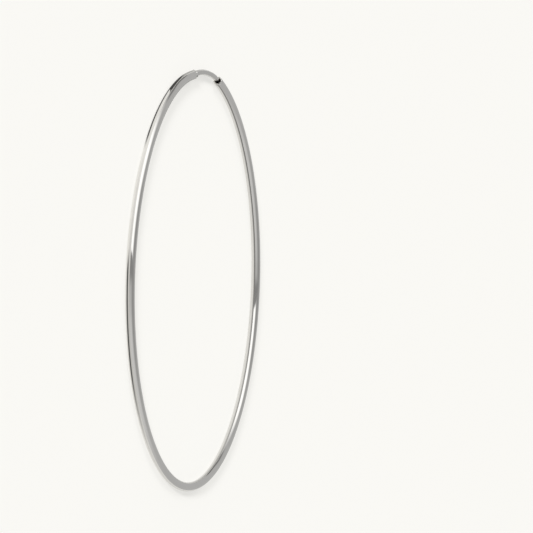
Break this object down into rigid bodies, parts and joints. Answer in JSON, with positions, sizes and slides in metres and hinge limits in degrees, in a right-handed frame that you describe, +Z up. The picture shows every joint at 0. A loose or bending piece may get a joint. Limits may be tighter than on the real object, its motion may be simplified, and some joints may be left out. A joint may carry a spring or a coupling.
{
  "type": "endless hoop earring",
  "caption": "Thin round endless hoop earring: a polished hollow tube bent into a ring, whose fine ear wire springs into the tube's open mouth.",
  "frame": {"origin": "centre of the hoop, on the surface that it lies on", "axes": "+Z up, along the hoop's own axis; +Y from the hoop's centre to the middle of the exposed ear wire; +X towards the tube's open mouth"},
  "size_m": [0.06, 0.0602, 0.0013],
  "materials": {
    "polished_tube": "polished",
    "drawn_wire": "polished"
  },
  "bodies": {
    "root": {"hoop_tube": "polished_tube", "ear_wire": "drawn_wire"}
  },
  "joints": []
}
